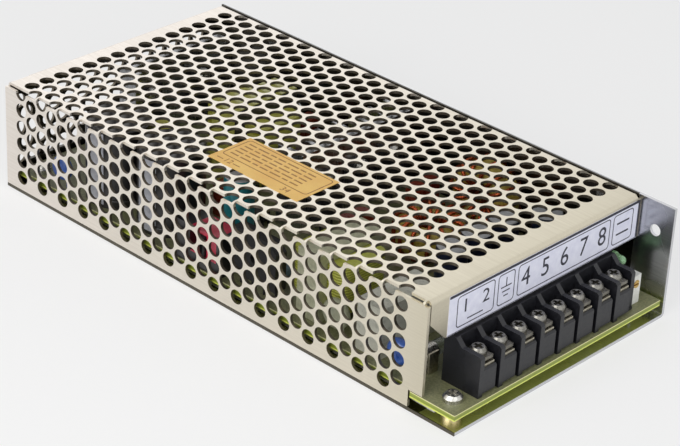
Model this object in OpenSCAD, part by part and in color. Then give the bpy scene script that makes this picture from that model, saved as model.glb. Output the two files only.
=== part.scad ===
// Mesh case switching power supply: folded base, perforated folded cover, circuit board with its parts,
// and an eight-pole screw terminal block at the front end.
// The origin is at the middle of the base's underside. X is the width, Y the length and Z points up.
// The terminals are at the -Y end, and the solid side wall is on the +X side.

/* [Case] */
// Length of the case, front to back
case_len = 199; // [197:0.5:215]
// Width of the case
case_w = 98; // [97:0.5:108]
// Height of the case
case_h = 38; // [38:0.5:46]
// Thickness of the base's aluminium sheet
base_t = 1.1; // [0.9:0.1:1.5]
// Outer radius of the fold between base and side wall
base_fold_r = 1.6; // [1.6:0.1:2.4]
// Height of the base's rear lip
rear_lip_h = 8; // [7:0.5:12]
// Height of the base's low left lip
left_lip_h = 3.6; // [2.5:0.1:3.8]

/* [Cover] */
// Thickness of the cover's steel sheet
cover_t = 1.0; // [0.8:0.1:1.1]
// Outer radius of the cover's folds
fold_r = 1.4; // [1.3:0.1:1.8]
// Distance from the base's front edge back to the front flange
cover_setback = 12.8; // [12:0.1:14]
// Drop of the front flange below the top face
flange_drop = 14.7; // [12:0.1:15.2]
// Size of the cut corner at the flange's lower left
flange_cut = 7; // [3:0.5:10]
// Depth of the flange that is folded down inside the side wall
inner_flange_h = 9; // [8:0.5:12]
// Diameter of a vent hole
vent_d = 4.9; // [3.5:0.1:5.1]
// Distance between vent holes along a row, across the case
vent_pitch = 6.15; // [6.1:0.05:7]
// Distance between rows of vent holes
vent_row = 5.1; // [5:0.05:6]
// Clearance between sheets that lie side by side
sheet_gap = 0.1; // [0.05:0.05:0.3]

/* [Circuit board] */
// Thickness of the circuit board
board_t = 2.0; // [1.6:0.1:2.4]
// Height of the standoffs under the board
standoff_h = 3.4; // [3.2:0.1:4]
// Diameter of a standoff
standoff_d = 6; // [5:0.5:7]
// Diameter of the shank of the board and cover screws
screw_d = 2.9; // [2.5:0.1:3]
// Diameter of a screw's pan head
screw_head_d = 6; // [5:0.1:6.4]
// Height of a screw's pan head
screw_head_h = 2.3; // [1.8:0.1:2.6]
// Diameter of a component's lead
lead_d = 0.8; // [0.6:0.05:1]
// Thickness of the insulating film on the base
film_t = 0.25; // [0.15:0.05:0.4]

/* [Mounting holes] */
// Diameter of the tapped mounting holes
mount_d = 3.3; // [2.5:0.1:4.2]
// Distance between the bottom mounting holes across the case
mount_across = 50; // [40:1:60]
// Distance between the mounting holes along the case
mount_along = 117; // [100:1:120]
// Height of the side mounting holes above the base
mount_side_z = 14; // [12:0.5:18]
// Diameter of the through hole at the front of the side wall
wall_hole_d = 3.9; // [3:0.1:4.5]

/* [Terminal block] */
// Room across the case that the terminal block leaves free
block_room = 26.8; // [26.6:0.1:27.5]
// Thickness of the barrier between terminals
barrier_t = 1.8; // [1.4:0.1:2]
// Width of the post that carries a terminal's contact
post_w = 5.5; // [5.3:0.1:5.8]
// Height of a post above the board
post_h = 9.3; // [8:0.1:10]
// Height of a barrier above the board
barrier_h = 13.7; // [12.5:0.1:14.5]
// Height of the housing behind the posts
housing_h = 16.1; // [15:0.1:16.4]
// Depth of the block from its front face to its back
block_depth = 14; // [13.5:0.1:15]
// Thickness of a contact plate
contact_t = 0.8; // [0.6:0.1:1]
// Diameter of a terminal screw's shank
terminal_d = 3.4; // [3:0.1:3.5]
// Diameter of a terminal screw's head
terminal_head_d = 5.3; // [4.8:0.1:5.4]
// Height of a terminal screw's head
terminal_head_h = 2.1; // [1.8:0.1:2.4]
// Thickness of a clamp plate
clamp_t = 1.1; // [0.8:0.1:1.3]
// Gap under a clamp plate at rest
clamp_open = 0.5; // [0.45:0.05:0.8]
// Radial clearance of a terminal screw in its plates
screw_play = 0.08; // [0.05:0.01:0.1]

/* [Labels] */
// Thickness of a label
label_t = 0.12; // [0.08:0.02:0.2]
// Length of the label on top of the cover
top_label_len = 39; // [30:0.5:60]
// Width of the label on top of the cover
top_label_w = 18.4; // [15:0.1:30]

/* [Adjuster, switch and lamp] */
// Width of the voltage trimmer
trimmer_w = 4.2; // [3.8:0.1:4.8]
// Depth of the voltage trimmer
trimmer_depth = 6; // [5:0.1:6.2]
// Height of the voltage trimmer
trimmer_h = 10; // [9:0.1:10.5]
// Diameter of the trimmer's rotor
trimmer_rotor_d = 2.6; // [2.2:0.1:2.9]
// Diameter of the status lamp
lamp_d = 3; // [2.6:0.1:3.2]
// Length of the voltage selector, along the case
selector_len = 20; // [18:0.5:20.5]
// Width of the voltage selector, across the case
selector_w = 9; // [8:0.5:10]
// Height of the voltage selector
selector_h = 13.5; // [12:0.5:15]
// Travel of the voltage selector's slider
selector_travel = 4; // [3:0.1:5]

/* [Parts on the board] */
// Diameter of a bulk capacitor
bulk_d = 22; // [18:0.5:22.5]
// Height of a bulk capacitor
bulk_h = 28; // [22:0.5:29]
// Width of the main transformer, across the case
transformer_w = 28; // [26:0.5:30]
// Depth of the main transformer's winding, along the case
transformer_depth = 28; // [24:0.5:30]
// Height of the main transformer
transformer_h = 27; // [24:0.5:28]
// Thickness of the main transformer's core, along the case
transformer_core_t = 11; // [9:0.5:13]
// Width of the line choke, across the case
choke_w = 27; // [24:0.5:28]
// Depth of the line choke's winding, along the case
choke_depth = 22; // [18:0.5:23]
// Height of the line choke
choke_h = 23; // [20:0.5:26]
// Height of the heatsinks above the board
heatsink_h = 28; // [24:0.5:29]
// Thickness of a heatsink's plate
heatsink_t = 3; // [2:0.1:3.5]
// Radius of a toroid core's ring
toroid_r = 8.2; // [7.6:0.1:8.6]
// Width of a toroid core's section
toroid_t = 6.4; // [5.5:0.1:7]
// Diameter of a toroid's copper wire
wire_d = 1.3; // [1:0.1:1.4]
// Diameter of an output capacitor
output_cap_d = 10; // [8:0.5:10.5]
// Height of an output capacitor
output_cap_h = 20; // [14:0.5:22]

/* [Hidden] */
$fn = 48;
past = 0.5;

// Faces of the case.
half_w = case_w / 2;
half_l = case_len / 2;
wall_in = half_w - base_t;
cover_left = -half_w;
cover_right = wall_in - sheet_gap;
cover_front = -half_l + cover_setback;
cover_back = half_l;
cover_in = case_h - cover_t;
cover_low = base_t + sheet_gap;
side_notch = 5.3;

// Circuit board.
board_z = base_t + standoff_h;
top_z = board_z + board_t;
board_edge = 0.5;
board_front = -half_l + board_edge;
board_back = half_l - 3.5;
board_left = -half_w + cover_t + 1.4;
board_wide_left = -half_w + 0.3;
board_right = wall_in - 1.1;
lead_low = base_t + film_t + 2.15;
lead_hole = lead_d + 0.3;

// Vents: u is the distance from the left fold along the sheet, positive across the top and
// negative down the side.
vent_start = 1.32;
vent_back = 7.9;
vent_front = 9.8;
vent_side_margin = 1.5;
vent_rows = floor((cover_back - cover_front - vent_back - vent_front) / vent_row) + 1;
vent_top_cols = floor(case_w / vent_pitch) + 1;
vent_side_cols = floor(case_h / vent_pitch);
back_vent_rows = floor((case_h - 2 * vent_back) / vent_row) + 1;
slit_w = 1.3;
corner_slot = 7;

// A place on the board, in percent of half the case's width and of half its length.
function spot(across, along) = [across / 100 * half_w, along / 100 * half_l];

// Terminal block.
poles = 8;
pole_pitch = (case_w - block_room) / poles;
block_left = -half_w + 11.7;
block_front = -half_l + 1.8;
block_back = block_front + block_depth;
post_depth = 9.7;
end_setback = 1.4;
foot_gap = 1.1;
clamp_depth = 6.4;
terminal_y = block_front + 5.1;
contact_z = top_z + post_h;
clamp_z = contact_z + contact_t + clamp_open;
terminal_head_z = clamp_z + clamp_t;

// Screws.
board_screws_at = [
    [-half_w + 6.2, -half_l + 6.6],
    [half_w - 5.5, -half_l + 18.5],
    [-half_w + 7.5, half_l - 9],
    [half_w - 7, half_l - 9],
    spot(-27, -6)
];
cover_screw_y = half_l - 27;
cover_screw_z = case_h - 5.2;
rear_screw_x = half_w - 18;
rear_screw_z = rear_lip_h - 3.2;
tap_play = 0.05;

// Adjuster, lamp and switch.
trimmer_x = block_left + poles * pole_pitch + barrier_t + 3.2;
trimmer_front = block_front + 2.8;
trimmer_z = top_z + trimmer_h - 3;
lamp_x = trimmer_x + 0.2;
lamp_front = -half_l + 9.8;
lamp_z = top_z + 12.4;
lamp_len = 5;
selector_x = -half_w + cover_t + 1.9 + selector_w / 2;
selector_y = spot(0, 10)[1];
actuator_w = 3;
actuator_h = 7;
actuator_z = top_z + 8.6;

// Middle of the label on top.
top_label_at = spot(-52, -1);

// Middles of the parts on the board.
fuse_at = spot(-59, -77);
thermistor_at = spot(-20, -74);
varistor_at = spot(-86, -46);
x_cap_at = spot(-63, -60);
choke_at = spot(-59, -34);
bridge_at = spot(-86, -13);
bulk_at = [spot(-67, 37), spot(-67, 62)];
primary_sink_at = spot(27, 88);
secondary_sink_at = spot(35, 5);
transformer_at = spot(25, 46);
driver_at = spot(-22, 72);
flat_toroid_at = spot(33, -31);
tall_toroid_at = [wall_in - 8.2, spot(0, -33)[1]];
output_caps_at = [
    spot(6, -74), spot(31, -74), spot(55, -74), spot(-6, -56), spot(19, -55), spot(45, -55), spot(71, -62)
];
supply_cap_at = spot(-55, 12);
chips_at = [spot(-29, 19), spot(-20, -24), spot(-57, -1)];
resistors_at = [spot(-33, -50), spot(63, 72), spot(-59, -13)];
film_caps_at = [spot(4, -12), spot(67, -12), spot(72, 46), spot(-27, 30)];

// Sizes of the smaller parts on the board.
fuse_d = 5.2;
fuse_len = 20;
fuse_cap_len = 5.5;
fuse_z = top_z + 5.4;
fuse_clip_w = 4;
thermistor_d = 12;
thermistor_t = 4.6;
varistor_d = 10;
varistor_t = 4;
y_cap_d = 8.5;
y_cap_t = 3.6;
disc_lift = 2;
x_cap_size = [25, 10, 17];
bridge_size = [4.6, 18.5, 16];
primary_sink_len = 44;
primary_sink_lip = 5;
secondary_sink_len = 50;
secondary_fins = 7;
fin_len = 8;
fin_t = 1.6;
driver_size = [16, 14, 14];
supply_cap_h = output_cap_h + 5;
chip_size = [10, 6.4, 3.4];
chip_row = 7.6;
resistor_d = 4.4;
resistor_len = 12;
resistor_span = 17;
film_cap_size = [12, 5.5, 11];

// A power package: its legs' length, body and metal tab.
tab_foot = 4;
tab_w = 10;
tab_t = 1.3;
tab_h = 15.5;
tab_body_h = 9;
tab_body_t = 4.4;
tab_hole_d = 3.6;
tab_hole_z = tab_foot + 12.6;
tab_lead_y = 2.4;

y_caps_at = [
    spot(-87, -72), spot(-87, 79),
    [primary_sink_at[0] - primary_sink_len / 2 - y_cap_d / 2 - 1.2, spot(0, 84)[1]]
];

bobbin_gap = 0.3;
tape_t = 0.35;
toroid_straight = 4;
toroid_loop_r = toroid_t / 2 + 0.1 + wire_d / 2;
toroid_out = toroid_r + toroid_loop_r + wire_d / 2;
toroid_half_h = toroid_straight / 2 + toroid_loop_r + wire_d / 2;
toroid_turns = 15;

// Leads of each part, as [x, y] spots that the board is drilled for.
function pair_x(at, gap) = [for (s = [-1, 1]) [at[0] + s * gap / 2, at[1]]];
function pair_y(at, gap) = [for (s = [-1, 1]) [at[0], at[1] + s * gap / 2]];
function row_x(at, n, pitch) = [for (i = [0 : n - 1]) [at[0] + (i - (n - 1) / 2) * pitch, at[1]]];
function row_y(at, n, pitch) = [for (i = [0 : n - 1]) [at[0], at[1] + (i - (n - 1) / 2) * pitch]];
function flat(lists) = [for (part = lists) for (place = part) place];

function pole_x(i) = block_left + i * pole_pitch;
function post_x(i) = pole_x(i) + barrier_t + post_w / 2;

contact_leads = [for (i = [0 : poles - 1]) [post_x(i), block_front + post_depth + 0.8]];
trimmer_leads = row_y([trimmer_x, trimmer_front + trimmer_depth / 2], 3, 2);
lamp_leads = pair_x([lamp_x, lamp_front + lamp_len + 1.2], 2.1);
selector_leads = row_y([selector_x, selector_y], 3, 6);
fuse_leads = pair_x(fuse_at, fuse_len - 5);
thermistor_leads = pair_x(thermistor_at, 7);
varistor_leads = pair_y(varistor_at, 6);
x_cap_leads = pair_x(x_cap_at, 18);
y_cap_leads = flat([pair_y(y_caps_at[0], 5), pair_y(y_caps_at[1], 5), pair_x(y_caps_at[2], 5)]);
choke_leads = flat([for (s = [-1, 1]) row_x([choke_at[0], choke_at[1] + s * 8], 2, 12)]);
bridge_leads = row_y(bridge_at, 4, 5);
bulk_leads = flat([for (at = bulk_at) pair_y(at, 10)]);
transistor_y = primary_sink_at[1] - heatsink_t / 2 - tab_lead_y;
transistors_x = [for (s = [-1, 1]) primary_sink_at[0] + s * (primary_sink_len / 4 + 0.5)];
transistor_leads = flat([for (x = transistors_x) row_x([x, transistor_y], 3, 2.54)]);
transformer_leads = flat([for (s = [-1, 1])
    row_x([transformer_at[0], transformer_at[1] + s * (transformer_depth / 2 - 2)], 5, 4)]);
driver_leads = flat([for (s = [-1, 1]) row_x([driver_at[0], driver_at[1] + s * 5], 3, 4)]);
diode_y = secondary_sink_at[1] - heatsink_t / 2 - tab_lead_y;
diodes_x = [for (i = [-1 : 1]) secondary_sink_at[0] + i * secondary_sink_len * 0.31];
diode_leads = flat([for (x = diodes_x) row_x([x, diode_y], 3, 2.54)]);
output_cap_leads = flat([for (at = output_caps_at) pair_x(at, 5)]);
supply_cap_leads = pair_y(supply_cap_at, 5);
chip_leads = flat([for (at = chips_at) for (s = [-1, 1])
    row_x([at[0], at[1] + s * chip_row / 2], 4, 2.54)]);
resistor_leads = flat([for (at = resistors_at) pair_x(at, resistor_span)]);
film_cap_leads = flat([for (at = film_caps_at) pair_x(at, 7.5)]);
all_leads = flat([
    contact_leads, trimmer_leads, lamp_leads, selector_leads, fuse_leads, thermistor_leads, varistor_leads,
    x_cap_leads, y_cap_leads, choke_leads, bridge_leads, bulk_leads, transistor_leads, transformer_leads,
    driver_leads, diode_leads, output_cap_leads, supply_cap_leads, chip_leads, resistor_leads,
    film_cap_leads
]);

mounts_at = [for (sx = [-1, 1]) for (sy = [-1, 1]) [sx * mount_across / 2, sy * mount_along / 2]];
collar_h = 1.9;
collar_d = mount_d + 2.6;

function vent_u(row, i) = -vent_start + vent_pitch * (i + (row % 2) / 2);
function vent_y(row) = cover_back - vent_back - row * vent_row;
// A vent is cut in a flat sheet where it misses the folds, and through the fold where it reaches one.
function on_top(row, i) = vent_u(row, i) - vent_d / 2 > fold_r
    && cover_left + vent_u(row, i) + vent_d / 2 < cover_right - fold_r;
function on_right_fold(row, i) = !on_top(row, i) && i > 0
    && cover_left + vent_u(row, i) + vent_d / 2 < cover_right - 0.3;
function on_side(row, i) = vent_u(row, i) + vent_d / 2 < -fold_r
    && case_h + vent_u(row, i) - vent_d / 2 > cover_low + vent_side_margin;

// ---- Shared shapes ----

// A block with rounded upright edges, centred on X and Y.
module soft_box(size, r) {
    linear_extrude(size[2])
        soft_square([size[0], size[1]], r);
}

module soft_square(size, r) {
    square([size[0] - 2 * r, size[1]], center = true);
    square([size[0], size[1] - 2 * r], center = true);
    for (sx = [-1, 1])
        for (sy = [-1, 1])
            translate([sx * (size[0] / 2 - r), sy * (size[1] / 2 - r)])
                circle(r = r);
}

// Straight leads from the underside of the board up to a given height.
module leads(places, up_to) {
    for (at = places)
        translate([at[0], at[1], lead_low])
            cylinder(d = lead_d, h = up_to - lead_low, $fn = 16);
}

// A disc-shaped part standing on edge, with a rounded rim; its axis is X.
module disc_part(d, t) {
    rotate([0, 90, 0])
        translate([0, 0, -t / 2])
            rotate_extrude()
                union() {
                    square([d / 2 - t / 2, t]);
                    translate([d / 2 - t / 2, t / 2])
                        circle(d = t, $fn = 24);
                }
}

// A can with a groove near its foot and a rounded top rim.
module can(d, h) {
    groove_z = 3;
    groove = 0.5;
    rim = 0.8;
    rotate_extrude()
        difference() {
            union() {
                square([d / 2, h - rim]);
                translate([0, h - rim])
                    square([d / 2 - rim, rim]);
                translate([d / 2 - rim, h - rim])
                    circle(r = rim, $fn = 24);
            }
            translate([d / 2 + groove / 2, groove_z])
                circle(r = groove, $fn = 24);
        }
}

// A quarter of a fold, running along +Z from the origin, which is the centre of its radius.
module fold_strip(len) {
    linear_extrude(len)
        intersection() {
            difference() {
                circle(r = fold_r);
                circle(r = fold_r - cover_t);
            }
            square(fold_r);
        }
}

// A pan head with a cross recess, its underside at z = 0.
module pan_head(d, h) {
    dome = h * 0.45;
    slot_w = 0.18 * d;
    difference() {
        union() {
            cylinder(d = d, h = h - dome);
            translate([0, 0, h - dome])
                cylinder(d1 = d, d2 = d * 0.72, h = dome);
        }
        for (turn = [0, 90])
            rotate(turn)
                translate([-d * 0.29, -slot_w / 2, h * 0.5])
                    cube([d * 0.58, slot_w, h]);
    }
}

// A power transistor or diode standing on its leads, with its tab's back at y = 0 and facing -Y.
module tab_package() {
    translate([-tab_w / 2, -tab_body_t, tab_foot])
        cube([tab_w, tab_body_t - tab_t, tab_body_h]);
    difference() {
        translate([-tab_w / 2, -tab_t, tab_foot])
            cube([tab_w, tab_t, tab_h]);
        translate([0, past, tab_hole_z])
            rotate([90, 0, 0])
                cylinder(d = tab_hole_d, h = tab_t + 2 * past);
    }
}

// A ferrite core of two E shapes, standing on its edge and centred on X and Y.
module e_core(w, t, h, leg, yoke) {
    difference() {
        translate([-w / 2, -t / 2, 0])
            cube([w, t, h]);
        for (s = [-1, 1])
            translate([s * (w / 4) - (w / 2 - 2 * leg) / 2, -t / 2 - past, yoke])
                cube([w / 2 - 2 * leg, t + 2 * past, h - 2 * yoke]);
    }
}

// The winding that fills the windows of such a core, with the middle leg left out.
module core_winding(w, t, h, leg, yoke, depth) {
    coil_w = w - 2 * leg - 2 * bobbin_gap;
    coil_h = h - 2 * yoke - 2 * bobbin_gap;
    difference() {
        translate([0, 0, yoke + bobbin_gap])
            soft_box([coil_w, depth, coil_h], 3);
        translate([-leg - bobbin_gap, -t / 2 - bobbin_gap, yoke])
            cube([2 * leg + 2 * bobbin_gap, t + 2 * bobbin_gap, coil_h + 2]);
    }
}

// ---- Case ----

module base_block(w, h, r) {
    translate([0, r])
        square([w, h - r]);
    square([w - r, r]);
    translate([w - r, r])
        circle(r = r);
}

module base_profile() {
    difference() {
        base_block(case_w, case_h, base_fold_r);
        translate([-past, base_t])
            base_block(case_w - base_t + past, case_h, base_fold_r - base_t);
    }
}

module chassis() {
    lip_y = cover_back - cover_t - sheet_gap;
    lip_x = cover_left + cover_t + sheet_gap;
    color("gainsboro")
    difference() {
        union() {
            translate([-half_w, half_l, 0])
                rotate([90, 0, 0])
                    linear_extrude(case_len)
                        base_profile();
            translate([-half_w + 6, lip_y - base_t, 0])
                cube([case_w - 16, base_t, rear_lip_h]);
            translate([lip_x, cover_front + 8, 0])
                cube([base_t, lip_y - cover_front - 20, left_lip_h]);
            for (at = mounts_at)
                translate([at[0], at[1], 0])
                    cylinder(d = collar_d, h = base_t + collar_h);
            for (s = [-1, 1])
                translate([wall_in - collar_h, s * mount_along / 2, mount_side_z])
                    rotate([0, 90, 0])
                        cylinder(d = collar_d, h = collar_h + base_t);
        }
        for (at = mounts_at)
            translate([at[0], at[1], -past])
                cylinder(d = mount_d, h = base_t + collar_h + 2 * past);
        for (s = [-1, 1])
            translate([wall_in - collar_h - past, s * mount_along / 2, mount_side_z])
                rotate([0, 90, 0])
                    cylinder(d = mount_d, h = collar_h + base_t + 2 * past);
        translate([wall_in - past, -half_l + 6.3, case_h - 9.7])
            rotate([0, 90, 0])
                cylinder(d = wall_hole_d, h = base_t + 2 * past);
        at_side_screws()
            flush_hole(base_t);
        at_rear_screws()
            translate([0, 0, -base_t - cover_t - sheet_gap - past])
                cylinder(d = screw_d + 2 * tap_play, h = base_t + cover_t + sheet_gap);
    }
}

module top_sheet() {
    translate([0, 0, cover_in])
        linear_extrude(cover_t)
            difference() {
                translate([cover_left + fold_r, cover_front + fold_r])
                    square([cover_right - cover_left - 2 * fold_r, cover_back - cover_front - 2 * fold_r]);
                for (row = [0 : vent_rows - 1])
                    for (i = [0 : vent_top_cols])
                        if (on_top(row, i))
                            translate([cover_left + vent_u(row, i), vent_y(row)])
                                circle(d = vent_d);
            }
}

module side_sheet() {
    notch_top = top_z + 0.5;
    translate([cover_left + cover_t, 0, 0])
        rotate([90, 0, -90])
            mirror([1, 0, 0])
                linear_extrude(cover_t)
                    difference() {
                        translate([cover_front, cover_low])
                            square([cover_back - cover_front, case_h - fold_r - cover_low]);
                        translate([cover_front - past, cover_low - past])
                            square([side_notch + past, notch_top - cover_low + past]);
                        for (row = [0 : vent_rows - 1])
                            for (i = [-vent_side_cols : -1])
                                if (on_side(row, i))
                                    translate([vent_y(row), case_h + vent_u(row, i)])
                                        circle(d = vent_d);
                    }
}

module back_sheet() {
    edge = cover_left + cover_t + 3 * sheet_gap;
    low = cover_low;
    translate([0, cover_back, 0])
        rotate([90, 0, 0])
            linear_extrude(cover_t)
                difference() {
                    translate([edge, low])
                        square([cover_right - edge, case_h - fold_r - low]);
                    for (k = [0 : back_vent_rows - 1])
                        for (i = [1 : vent_top_cols - 2])
                            if (cover_left + vent_u(k, i) < cover_right - vent_d)
                                translate([cover_left + vent_u(k, i), case_h - vent_back - k * vent_row])
                                    circle(d = vent_d);
                }
}

module front_flange() {
    left = cover_left + fold_r;
    low = case_h - flange_drop;
    translate([0, cover_front + cover_t, 0])
        rotate([90, 0, 0])
            linear_extrude(cover_t)
                polygon([
                    [left, case_h - fold_r], [left, low + flange_cut], [left + flange_cut, low],
                    [cover_right, low], [cover_right, case_h - fold_r]
                ]);
}

module cover_folds() {
    along = cover_back - cover_front - 2 * fold_r;
    across = cover_right - cover_left - 2 * fold_r;
    fold_z = case_h - fold_r;
    translate([cover_left + fold_r, cover_back - fold_r, fold_z])
        rotate([90, 0, 0])
            mirror([1, 0, 0])
                fold_strip(along);
    translate([cover_right - fold_r, cover_back - fold_r, fold_z])
        rotate([90, 0, 0])
            fold_strip(along);
    translate([cover_left + fold_r, cover_back - fold_r, fold_z])
        rotate([90, 0, 90])
            fold_strip(across);
    translate([cover_right - fold_r, cover_front + fold_r, fold_z])
        rotate([90, 0, -90])
            fold_strip(across);
}

// Cuts through the left and right folds: vents that reach them, slits and the corner slots.
module fold_cuts() {
    deep = cover_t + 0.3;
    for (row = [0 : vent_rows - 1]) {
        translate([cover_left + vent_u(row, 0), vent_y(row), case_h - deep])
            cylinder(d = vent_d, h = deep + past);
        translate([cover_left - past, vent_y(row), case_h + vent_u(row, 0)])
            rotate([0, 90, 0])
                cylinder(d = vent_d, h = deep + past);
        for (i = [1 : vent_top_cols])
            if (on_right_fold(row, i))
                translate([cover_left + vent_u(row, i), vent_y(row), case_h - deep])
                    cylinder(d = vent_d, h = deep + past);
    }
    for (row = [0 : 2 : vent_rows - 2])
        translate([cover_left - past, vent_y(row + 1) + 0.8, case_h - slit_w])
            cube([slit_w + past, vent_row - 1.6, slit_w + past]);
    translate([cover_left - past, cover_back - corner_slot, case_h - slit_w])
        cube([slit_w + past, corner_slot + past, slit_w + past]);
    translate([cover_left + 2.6, cover_back - slit_w, case_h - slit_w])
        cube([corner_slot, slit_w + past, slit_w + past]);
    translate([cover_left - past, cover_front + 2.2, case_h - slit_w])
        cube([slit_w + past, corner_slot, slit_w + past]);
}

module cover() {
    color("silver")
    difference() {
        union() {
            top_sheet();
            side_sheet();
            back_sheet();
            front_flange();
            cover_folds();
            translate([cover_right - cover_t, cover_front + fold_r, case_h - inner_flange_h])
                cube([cover_t, cover_back - cover_front - 2 * fold_r - cover_t, inner_flange_h - fold_r]);
        }
        fold_cuts();
        at_side_screws()
            translate([0, 0, -base_t - cover_t - sheet_gap - past])
                cylinder(d = screw_d + 2 * tap_play, h = base_t + cover_t + sheet_gap);
        at_rear_screws()
            flush_hole(cover_t);
    }
}

// A countersunk screw along +Z with a cross recess; its head's top is at z = 0 and fills a sheet.
module flush_screw(sheet_t, grip) {
    difference() {
        union() {
            translate([0, 0, -sheet_t])
                cylinder(d1 = screw_d, d2 = screw_d + 2 * sheet_t, h = sheet_t);
            translate([0, 0, -sheet_t - grip])
                cylinder(d = screw_d, h = grip);
        }
        for (turn = [0, 90])
            rotate(turn)
                translate([-1.3, -0.4, -0.7])
                    cube([2.6, 0.8, 1]);
    }
}

// The cone that such a screw sits in, cut from the outer face inwards.
module flush_hole(sheet_t) {
    free = 0.3;
    translate([0, 0, -sheet_t])
        cylinder(d1 = screw_d + free, d2 = screw_d + free + 2 * sheet_t, h = sheet_t);
}

module at_side_screws() {
    for (s = [-1, 1])
        translate([half_w, s * cover_screw_y, cover_screw_z])
            rotate([0, 90, 0])
                children();
}

module at_rear_screws() {
    for (s = [-1, 1])
        translate([s * rear_screw_x, half_l, rear_screw_z])
            rotate([-90, 0, 0])
                children();
}

module cover_screws() {
    grip = cover_t + sheet_gap + 0.6;
    color("lightgray") {
        at_side_screws()
            flush_screw(base_t, grip);
        at_rear_screws()
            flush_screw(cover_t, base_t + sheet_gap + 0.6);
    }
}

module board_standoffs() {
    color("khaki")
        for (at = board_screws_at)
            translate([at[0], at[1], base_t])
                difference() {
                    cylinder(d = standoff_d, h = standoff_h);
                    translate([0, 0, -past])
                        cylinder(d = screw_d + 2 * tap_play, h = standoff_h + 2 * past);
                }
}

module insulation_film() {
    front = -half_l + 11;
    back = board_back - 12;
    left = board_left + 1.5;
    right = board_right - 1;
    color("white")
        translate([0, 0, base_t])
            linear_extrude(film_t)
                difference() {
                    translate([left, front])
                        square([right - left, back - front]);
                    for (at = concat(board_screws_at, mounts_at))
                        translate(at)
                            circle(d = standoff_d + 2);
                }
}

// ---- Circuit board and its screws ----

module circuit_board() {
    step_y = cover_front + side_notch - 0.4;
    color("olivedrab")
        translate([0, 0, board_z])
            linear_extrude(board_t)
                difference() {
                    polygon([
                        [board_wide_left, board_front], [board_right, board_front],
                        [board_right, board_back], [board_left, board_back],
                        [board_left, step_y], [board_wide_left, step_y]
                    ]);
                    for (at = board_screws_at)
                        translate(at)
                            circle(d = screw_d + 0.4);
                    for (at = all_leads)
                        translate(at)
                            circle(d = lead_hole, $fn = 16);
                }
}

module board_screws() {
    color("lightgray")
        for (at = board_screws_at)
            translate([at[0], at[1], top_z]) {
                pan_head(screw_head_d, screw_head_h);
                translate([0, 0, -board_t - standoff_h + 0.4])
                    cylinder(d = screw_d, h = board_t + standoff_h - 0.4);
            }
}

// ---- Labels ----

module front_label() {
    left = cover_left + fold_r + flange_cut + 0.6;
    low = case_h - flange_drop + 0.1;
    high = case_h - fold_r;
    corner = 2;
    right = cover_right - 0.3;
    color("lavender")
        translate([0, cover_front, 0])
            rotate([90, 0, 0])
                linear_extrude(label_t)
                    polygon([
                        [left, low], [right, low], [right, high - corner],
                        [right - corner, high], [left, high]
                    ]);
}

module top_label() {
    color("goldenrod")
        translate([top_label_at[0], top_label_at[1], case_h])
            linear_extrude(label_t)
                square([top_label_w, top_label_len], center = true);
}

// ---- Terminal block ----

// Side outline of a barrier, as [y, z] from the block's front foot.
module barrier(t, setback) {
    chamfer = 0.7;
    rise = housing_h - barrier_h;
    rotate([90, 0, 90])
        linear_extrude(t)
            polygon([
                [setback, 0], [setback, barrier_h - chamfer], [setback + chamfer, barrier_h],
                [post_depth - rise, barrier_h], [post_depth, housing_h],
                [block_depth, housing_h], [block_depth, 0]
            ]);
}

module post() {
    lip = 0.5;
    rotate([90, 0, 90])
        linear_extrude(post_w)
            polygon([
                [0, foot_gap], [0, post_h - lip], [lip, post_h], [post_depth + 1, post_h], [post_depth + 1, foot_gap]
            ]);
}

module terminal_block() {
    span = poles * pole_pitch + barrier_t;
    slot_w = 1.3;
    contact_w = post_w - 0.4;
    color([0.16, 0.16, 0.18])
    difference() {
        translate([block_left, block_front, top_z]) {
            for (i = [0 : poles - 1])
                translate([i * pole_pitch, 0, 0]) {
                    barrier(barrier_t, 0);
                    translate([barrier_t, 0, 0])
                        post();
                }
            translate([poles * pole_pitch, 0, 0])
                barrier(barrier_t, end_setback);
            translate([0, 1.2, 0])
                cube([span, block_depth - 1.2, foot_gap]);
            translate([0, post_depth, 0])
                cube([span, block_depth - post_depth, housing_h]);
        }
        for (i = [0 : poles - 1]) {
            translate([post_x(i), terminal_y, top_z + foot_gap + 0.5])
                cylinder(d = terminal_d + 0.8, h = post_h + past);
            translate([post_x(i) - contact_w / 2 - 0.1, block_front + post_depth + 0.8 - slot_w / 2, top_z - past])
                cube([contact_w + 0.2, slot_w, post_h + contact_t + past + 0.1]);
            translate([post_x(i) - contact_w / 2 - 0.1, block_front + post_depth - past, contact_z])
                cube([contact_w + 0.2, past + 0.8, contact_t + 0.1]);
        }
    }
}

module terminal_contacts() {
    plate_w = post_w - 0.4;
    front = block_front + 0.9;
    back = block_front + post_depth + 0.8;
    leg_t = 0.9;
    color("khaki")
        for (i = [0 : poles - 1]) {
            difference() {
                translate([post_x(i) - plate_w / 2, front, contact_z])
                    cube([plate_w, back - front + leg_t / 2, contact_t]);
                translate([post_x(i), terminal_y, contact_z - past])
                    cylinder(d = terminal_d + 2 * screw_play, h = contact_t + 2 * past);
            }
            translate([post_x(i) - plate_w / 2, back - leg_t / 2, top_z])
                cube([plate_w, leg_t, contact_z - top_z + contact_t / 2]);
            translate([post_x(i), back, lead_low])
                cylinder(d = lead_d, h = top_z - lead_low + 1, $fn = 16);
        }
}

module clamp_plate(i) {
    w = post_w - 0.3;
    color("silver")
        difference() {
            translate([post_x(i) - w / 2, terminal_y - clamp_depth / 2 - 0.4, clamp_z])
                cube([w, clamp_depth, clamp_t]);
            translate([post_x(i), terminal_y, clamp_z - past])
                cylinder(d = terminal_d + 2 * screw_play, h = clamp_t + 2 * past);
        }
}

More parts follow.
